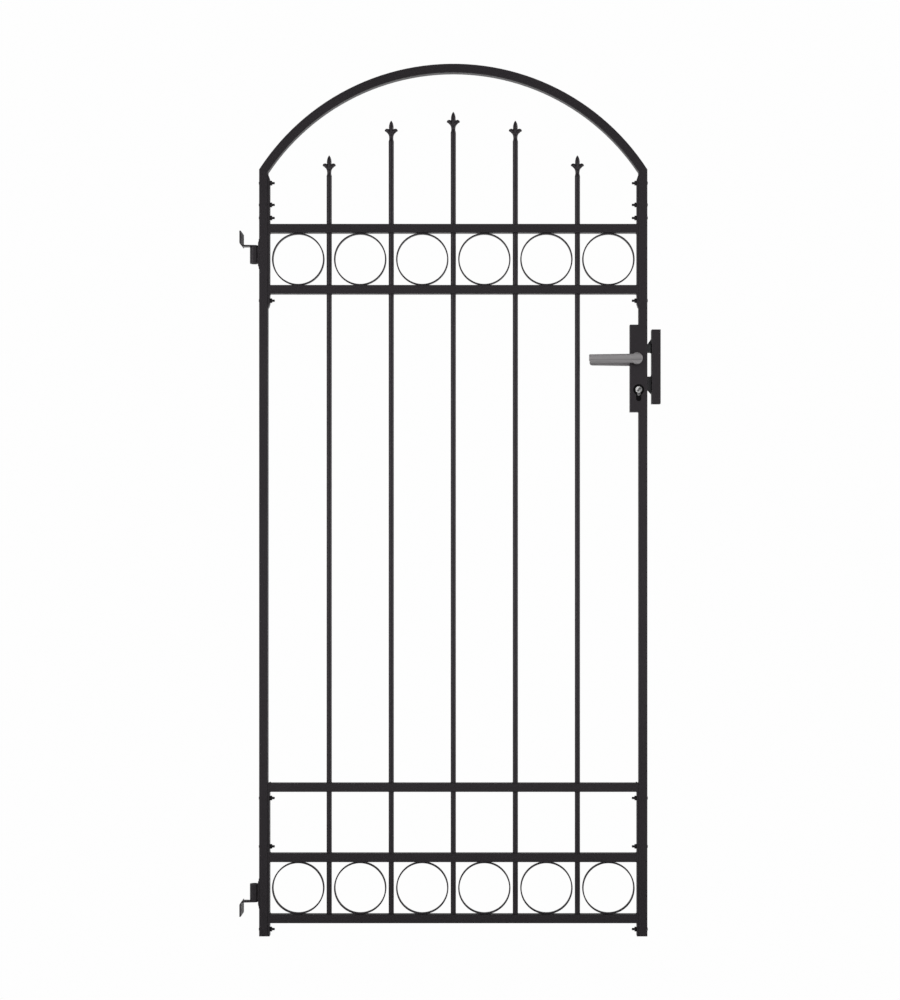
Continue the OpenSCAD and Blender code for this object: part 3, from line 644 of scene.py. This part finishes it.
def addRings(name):
    places, radius, depth = ringPlaces(name)
    sizes = {"Ring radius": radius, "Strip thickness": rings["strip"], "Strip depth": depth,
             "Edge radius": rings["edge"], "Sides": rings["sides"]}
    tree, entry = newTree(name + "Tree", sizes)
    inset = addMath(tree, "MULTIPLY", entry["Strip thickness"], 0.5)
    middle = addMath(tree, "SUBTRACT", entry["Ring radius"], inset)
    loop = addNode(tree, "GeometryNodeCurvePrimitiveCircle",
                   {"Resolution": entry["Sides"], "Radius": middle})[0]
    flat = addNode(tree, "GeometryNodeCurvePrimitiveQuadrilateral",
                   {"Width": entry["Strip thickness"], "Height": entry["Strip depth"]})[0]
    section = addNode(tree, "GeometryNodeFilletCurve",
                      {"Curve": flat, "Count": 4, "Radius": entry["Edge radius"]}, mode="POLY")[0]
    hoop = addNode(tree, "GeometryNodeCurveToMesh", {"Curve": loop, "Profile Curve": section})[0]
    upright = addNode(tree, "GeometryNodeTransform",
                      {"Geometry": hoop, "Rotation": (math.pi / 2, 0, 0)})[0]
    row = addNode(tree, "GeometryNodeInstanceOnPoints", {"Points": entry[0], "Instance": upright})[0]
    start = pointMesh(name, places)
    growPiece(name + "_hoops", tree, row, start, sizes, "black_paint", "leaf", (name,))


addRings("lower_rings")
addRings("upper_rings")
print("gate: rings rolled")


levelGap = 12 * mm     # more than a bolt's height and less than the gap between two of them


# Heights of the separate solids of a node, lowest first.
def levelsOf(name):
    heights = sorted({round(vertex.co.z, 5) for vertex in frame["nodes"][name].data.vertices})
    groups = [[heights[0]]]
    for height in heights[1:]:
        if height - groups[-1][-1] > levelGap:
            groups.append([])
        groups[-1].append(height)
    return [(group[0] + group[-1]) / 2 for group in groups]


bolts = {
    "Head radius": 4.98 * mm,
    "Head height": 1.5 * mm,
    "Head step": 0.12 * mm,
    "Rim": 0.6,              # the head's rim, as a share of its radius
    "Shank radius": 2.95 * mm,
    "Pitch": 1.0 * mm,
    "Thread depth": 0.42 * mm,
    "End chamfer": 1.0 * mm,
    "Sides": 28,
}


# A turned part along X, with the radius that a field gives at each point of its line.
def turnedAlongX(tree, start, length, step, radius, sides):
    first = addNode(tree, "ShaderNodeCombineXYZ", {"X": start})[0]
    line = addNode(tree, "GeometryNodeCurvePrimitiveLine",
                   {"Start": first, "Direction": (1, 0, 0), "Length": length}, mode="DIRECTION")[0]
    line = addNode(tree, "GeometryNodeResampleCurve", {"Curve": line, "Length": step}, mode="LENGTH")[0]
    loop = addNode(tree, "GeometryNodeCurvePrimitiveCircle", {"Resolution": sides, "Radius": 1.0})[0]
    return addNode(tree, "GeometryNodeCurveToMesh",
                   {"Curve": line, "Profile Curve": loop, "Scale": radius, "Fill Caps": True})[0]


def addBolts(name, side):
    low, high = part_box(name)
    sizes = {"Length": high.x - low.x, **bolts}
    tree, entry = newTree(name + "Tree", sizes)
    along = addNode(tree, "GeometryNodeSplineParameter")["Length"]
    rise = addMath(tree, "MINIMUM", addMath(tree, "DIVIDE", along, entry["Head height"]), 1.0)
    fall = addMath(tree, "POWER", addMath(tree, "SUBTRACT", 1.0, rise), 2.0)
    dome = addMath(tree, "SQRT", addMath(tree, "SUBTRACT", 1.0, fall))
    dome = addMath(tree, "MULTIPLY", entry["Head radius"], addMath(tree, "MAXIMUM", dome, entry["Rim"]))
    head = turnedAlongX(tree, 0.0, entry["Head height"], entry["Head step"], dome, entry["Sides"])
    half = addMath(tree, "MULTIPLY", entry["Pitch"], 0.5)
    wave = addMath(tree, "DIVIDE", addMath(tree, "PINGPONG", along, half), half)
    groove = addMath(tree, "MULTIPLY", wave, entry["Thread depth"])
    screw = addMath(tree, "SUBTRACT", entry["Shank radius"], groove)
    length = addMath(tree, "SUBTRACT", entry["Length"], entry["Head height"])
    left = addMath(tree, "SUBTRACT", length, along)
    end = addMath(tree, "SUBTRACT", entry["Shank radius"], entry["End chamfer"])
    rod = addMath(tree, "MINIMUM", screw, addMath(tree, "ADD", end, left))
    step = addMath(tree, "MULTIPLY", half, 0.5)
    shank = turnedAlongX(tree, entry["Head height"], length, step, rod, entry["Sides"])
    both = tree.nodes.new("GeometryNodeJoinGeometry")
    for shape in (head, shank):
        tree.links.new(shape, both.inputs[0])
    turn = (0, 0, 0 if side > 0 else math.pi)
    aimed = addNode(tree, "GeometryNodeTransform", {"Geometry": both.outputs[0], "Rotation": turn})[0]
    row = addNode(tree, "GeometryNodeInstanceOnPoints", {"Points": entry[0], "Instance": aimed})[0]
    places = [(low.x if side > 0 else high.x, 0, level) for level in levelsOf(name)]
    start = pointMesh(name, places)
    growPiece(name + "_threaded", tree, row, start, sizes, slotOf[name], "leaf", (name,))


nuts = {"acrossFlats": 10.0 * mm, "inside": 0.95, "slope": math.radians(30), "perFlat": 6}


# One hexagon nut along X, its corners turned down at both ends.
def makeNut(height):
    flat = nuts["acrossFlats"] / 2
    inside = flat * nuts["inside"]
    around = 6 * nuts["perFlat"]
    places = []
    for end in (-1, 1):
        face, edge = [], []
        for k in range(around):
            turn = 2 * math.pi * k / around
            reach = flat / math.cos(turn % (math.pi / 3) - math.pi / 6)
            drop = (reach - inside) * math.tan(nuts["slope"])
            face.append((end * height / 2, inside * math.cos(turn), inside * math.sin(turn)))
            edge.append((end * (height / 2 - drop), reach * math.cos(turn), reach * math.sin(turn)))
        places += [face, edge] if end < 0 else [edge, face]
    shell = bmesh.new()
    skinRings(shell, places)
    return closeShell("nut", shell)


def addNuts(name):
    low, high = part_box(name)
    places = [((low.x + high.x) / 2, 0, level) for level in levelsOf(name)]
    scatterPattern(name + "_hex", makeNut(high.x - low.x), places, slotOf[name], "leaf", (name,))


addBolts("hinge_side_bolts", 1)
addBolts("lock_side_bolts", -1)
addNuts("hinge_side_nuts")
addNuts("lock_side_nuts")
print("gate: bolts and nuts fitted")


# radius of each node's edges in mm
softEdges = {
    "hinge_plate_low": 0.5, "hinge_plate_high": 0.5, "lock_plate_low": 0.5, "lock_plate_high": 0.5,
    "lower_wall_bracket": 0.6, "upper_wall_bracket": 0.6,
    "lower_hinge_barrel": 0.4, "upper_hinge_barrel": 0.4,
    "lock_case": 0.5, "strike": 0.4, "latch_bolt": 0.7, "dead_bolt": 0.5, "foot_caps": 0.5,
    "lock_cylinder": 0.3, "cylinder_plug": 0.25,
}
softening = {
    "merge": 0.002 * mm,
    "flat": math.radians(0.4),      # faces that meet at less than this become one
    "sharp": math.radians(40),      # edges that turn by more than this are rounded
    "segments": 3,
    "faceWeight": 90,
}


# A merged copy of a node with its sharp edges rounded.
def softenNode(name, radius):
    shell = bmesh.new()
    shell.from_mesh(frame["nodes"][name].data)
    bmesh.ops.remove_doubles(shell, verts=shell.verts, dist=softening["merge"])
    bmesh.ops.dissolve_limit(shell, angle_limit=softening["flat"], verts=shell.verts,
                             edges=shell.edges)
    for face in shell.faces:
        face.smooth = True
    mesh = bpy.data.meshes.new(name)
    shell.to_mesh(mesh)
    shell.free()
    maker = newMaker(name, mesh)
    bevel = maker.modifiers.new("round", "BEVEL")
    bevel.width = radius * mm
    bevel.segments = softening["segments"]
    bevel.limit_method = "ANGLE"
    bevel.angle_limit = softening["sharp"]
    even = maker.modifiers.new("even", "WEIGHTED_NORMAL")
    even.weight = softening["faceWeight"]
    placePiece(name + "_eased", meshAfter(maker), slotOf[name], bodyOf[name], (name,))


for nodeName, radius in softEdges.items():
    softenNode(nodeName, radius)
print("gate: plates, brackets and lock parts eased")


# the painted shade round each keyway: a dark sheet over the plug's face
keyway = {
    "lean": math.radians(35),
    "slot": (1.25, 4.7),       # half width and half length of its inner edge in mm
    "rim": (2.3, 5.6),         # the same for its outer edge
    "proud": 0.06,             # how far it stands out of the plug in mm
    "deep": -0.4,              # where it ends inside the plug
    "sides": 40,
}


# A dark rim round the keyway on both plugs: painted shade, a dark sheet standing in for the shade inside
# the slot.
def addKeywayShade():
    low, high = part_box("cylinder_plug")
    centre = (low + high) / 2 / mm
    shell = bmesh.new()
    for side in (-1, 1):
        face = side * high.y / mm
        lean = -side * keyway["lean"]
        loops = []
        for edge, height in (("rim", "deep"), ("rim", "proud"), ("slot", "proud"), ("slot", "deep")):
            halfWidth, halfLength = keyway[edge]
            loop = []
            for k in range(keyway["sides"]):
                c = math.cos(2 * math.pi * k / keyway["sides"])
                s = math.sin(2 * math.pi * k / keyway["sides"])
                u = math.copysign(abs(c) ** 0.5, c) * halfWidth
                v = math.copysign(abs(s) ** 0.5, s) * halfLength
                x = centre.x + u * math.cos(lean) + v * math.sin(lean)
                z = centre.z - u * math.sin(lean) + v * math.cos(lean)
                y = face + side * keyway[height]
                loop.append(shell.verts.new((x * mm, y * mm, z * mm)))
            loops.append(loop)
        for a, b in zip(loops, loops[1:] + loops[:1]):
            for k in range(keyway["sides"]):
                following = (k + 1) % keyway["sides"]
                shell.faces.new((a[k], a[following], b[following], b[k]))
    placePiece("keyway_rims", closeShell("keyway_rims", shell), "bolt_steel", "leaf")


addKeywayShade()


faceScrews = {
    # place along the screw and radius in mm, from the point of its cone to the middle of its head
    "head": ((-2.4, 1.8), (-0.1, 3.75), (0.1, 3.8), (0.25, 3.6), (0.32, 2.0)),
    "cross": (5.0, 1.1, 1.3),      # length, width and depth of the cross in mm
    "inset": 9.0,                  # from the ends of the face plate in mm
}


# Two countersunk screws with a cross in the lock's face plate.
def addFaceScrews():
    low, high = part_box("lock_body")
    shell = bmesh.new()
    addTurned(shell, faceScrews["head"], axis="X")
    maker = newMaker("faceScrew", closeShell("faceScrew", shell))
    length, width, depth = (size * mm for size in faceScrews["cross"])
    cutter = bmesh.new()
    for tall, wide in ((length, width), (width, length)):
        bar = bmesh.ops.create_cube(cutter, size=1.0)["verts"]
        bmesh.ops.scale(cutter, vec=(2 * depth, wide, tall), verts=bar)
    bmesh.ops.translate(cutter, vec=(faceScrews["head"][-1][0] * mm, 0, 0), verts=cutter.verts)
    tool = newMaker("crossTool", closeShell("crossTool", cutter))
    cut = maker.modifiers.new("cross", "BOOLEAN")
    cut.object = tool
    cut.solver = "EXACT"
    cut.use_self = True
    pattern = meshAfter(maker)
    bpy.data.objects.remove(tool)
    inset = faceScrews["inset"] * mm
    places = [(high.x, 0, low.z + inset), (high.x, 0, high.z - inset)]
    scatterPattern("face_plate_screws", pattern, places, "bolt_steel", "leaf")


addFaceScrews()
print("gate: keyways and screws of the lock")


welds = {
    "Step": 0.7 * mm,
    "Ripple": 0.1,          # of the bead's radius
    "Ripple length": 2.4 * mm,
    "Unevenness": 0.35,
    "Lumps": 160.0,         # per metre
    "End": 0.55,            # radius at a bead's very end, as a share of its own
    "Sides": 8,
    "Seed": 4.0,
}
# radius of each kind of bead
beadSizes = {"rail": 1.7 * mm, "bar": 1.3 * mm, "ring": 1.0 * mm, "hinge": 1.5 * mm,
             "barrel": 2.2 * mm, "case": 1.2 * mm}
# lengths of the beads across a tube, as shares of its depth
beadRuns = {"rail": 0.9, "ring": 0.84, "hinge": 0.85, "case": 0.85}
seams = {
    "hingePlate": 2.5 * mm,       # thickness of the plate under a barrel
    "barrelOut": 5.0 * mm,        # from the middle of the gate to the bead beside a barrel
    "ringOut": 7.0 * mm,          # from the place where a ring touches a rail to each bead
}


# A bead straight across the gate at x and z, on a tube or strip of the given half depth.
def beadAcross(x, z, halfDepth, kind):
    run = halfDepth * beadRuns[kind]
    return [Vector((x, -run, z)), Vector((x, run, z))], beadSizes[kind], False


def circlePath(centre, radius, count=36):
    turns = [2 * math.pi * k / count for k in range(count)]
    return [Vector(centre) + Vector((math.cos(turn), math.sin(turn), 0)) * radius for turn in turns]


# The highest and lowest place of a node's points that lie left of x.
def heightsLeftOf(name, x):
    levels = [vertex.co.z for vertex in frame["nodes"][name].data.vertices if vertex.co.x < x]
    return min(levels), max(levels)


# Down both sides of each barrel and across its plate's ends.
def hingeSeams():
    paths = []
    for name in ("lower_hinge_barrel", "upper_hinge_barrel"):
        low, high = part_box(name)
        radius = (high.y - low.y) / 2
        axisX = low.x + radius
        bottom, top = heightsLeftOf(name, axisX)
        plateX = high.x - seams["hingePlate"]
        barrelX = axisX + math.sqrt(radius**2 - seams["barrelOut"]**2)
        x = (plateX + barrelX) / 2
        for y in (-seams["barrelOut"], seams["barrelOut"]):
            ends = [Vector((x, y, bottom)), Vector((x, y, top))]
            paths.append((ends, beadSizes["barrel"], False))
        paths += [beadAcross(high.x, z, high.y, "hinge") for z in (low.z, high.z)]
    return paths


# Where the lock case steps out from the stile.
def caseSeams():
    low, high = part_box("lock_case")
    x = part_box("lock_stile_lower")[0].x
    return [beadAcross(x, z, high.y, "case") for z in (low.z, high.z)]


# Every bead as its path, its radius and whether it closes on itself.
def weldPaths():
    paths = hingeSeams() + caseSeams()
    rails = ["bottom_rail", "lower_band_rail", "lower_rail", "upper_band_rail", "top_rail"]
    barRadius = (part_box("bar_1")[1].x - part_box("bar_1")[0].x) / 2
    for name in rails:
        low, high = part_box(name)
        for x in (low.x, high.x):
            paths += [beadAcross(x, z, high.y, "rail") for z in (low.z, high.z)]
        levels = (high.z,) if name == "bottom_rail" else (low.z, high.z)
        for x in barMiddles():
            for z in levels:
                paths.append((circlePath((x, 0, z), barRadius), beadSizes["bar"], True))
    for name in ("lower_rings", "upper_rings"):
        places, radius, depth = ringPlaces(name)
        for centre in places:
            for x in (centre.x - seams["ringOut"], centre.x + seams["ringOut"]):
                for z in (centre.z - radius, centre.z + radius):
                    paths.append(beadAcross(x, z, depth / 2, "ring"))
    return paths


def addWelds():
    mesh = bpy.data.meshes.new("weldPaths")
    verts, edges, radii = [], [], []
    for points, radius, closed in weldPaths():
        first = len(verts)
        verts += [tuple(point) for point in points]
        radii += [radius] * len(points)
        edges += [(first + k, first + k + 1) for k in range(len(points) - 1)]
        if closed:
            edges.append((first + len(points) - 1, first))
    mesh.from_pydata(verts, edges, [])
    mesh.attributes.new("bead", "FLOAT", "POINT").data.foreach_set("value", radii)
    tree, entry = newTree("weldTree", welds)
    path = addNode(tree, "GeometryNodeMeshToCurve", {"Mesh": entry[0]})[0]
    path = addNode(tree, "GeometryNodeResampleCurve",
                   {"Curve": path, "Length": entry["Step"]}, mode="LENGTH")[0]
    bead = addNode(tree, "GeometryNodeInputNamedAttribute",
                   {"Name": "bead"}, data_type="FLOAT")["Attribute"]
    along = addNode(tree, "GeometryNodeSplineParameter")["Length"]
    whole = addNode(tree, "GeometryNodeSplineLength")["Length"]
    end = addMath(tree, "MINIMUM", along, addMath(tree, "SUBTRACT", whole, along))
    end = addMath(tree, "MINIMUM", addMath(tree, "DIVIDE", end, bead), 1.0)
    end = addRange(tree, addMath(tree, "SQRT", end), 0, 1, entry["End"], 1)
    turn = addMath(tree, "DIVIDE", along, entry["Ripple length"])
    turn = addMath(tree, "MULTIPLY", turn, 2 * math.pi)
    ripple = addMath(tree, "MULTIPLY_ADD", addMath(tree, "SINE", turn), entry["Ripple"], 1.0)
    place = addNode(tree, "GeometryNodeInputPosition")[0]
    noise = addNode(tree, "ShaderNodeTexNoise",
                    {"Vector": place, "W": entry["Seed"], "Scale": entry["Lumps"]},
                    noise_dimensions="4D")[0]
    uneven = addMath(tree, "MULTIPLY", addMath(tree, "SUBTRACT", noise, 0.5), entry["Unevenness"])
    thick = addMath(tree, "MULTIPLY", bead, end)
    thick = addMath(tree, "MULTIPLY", thick, addMath(tree, "ADD", ripple, uneven))
    loop = addNode(tree, "GeometryNodeCurvePrimitiveCircle",
                   {"Resolution": entry["Sides"], "Radius": 1.0})[0]
    beads = addNode(tree, "GeometryNodeCurveToMesh",
                    {"Curve": path, "Profile Curve": loop, "Scale": thick, "Fill Caps": True})[0]
    growPiece("weld_beads", tree, beads, mesh, welds, "black_paint", "leaf")


addWelds()
print("gate: welds laid")
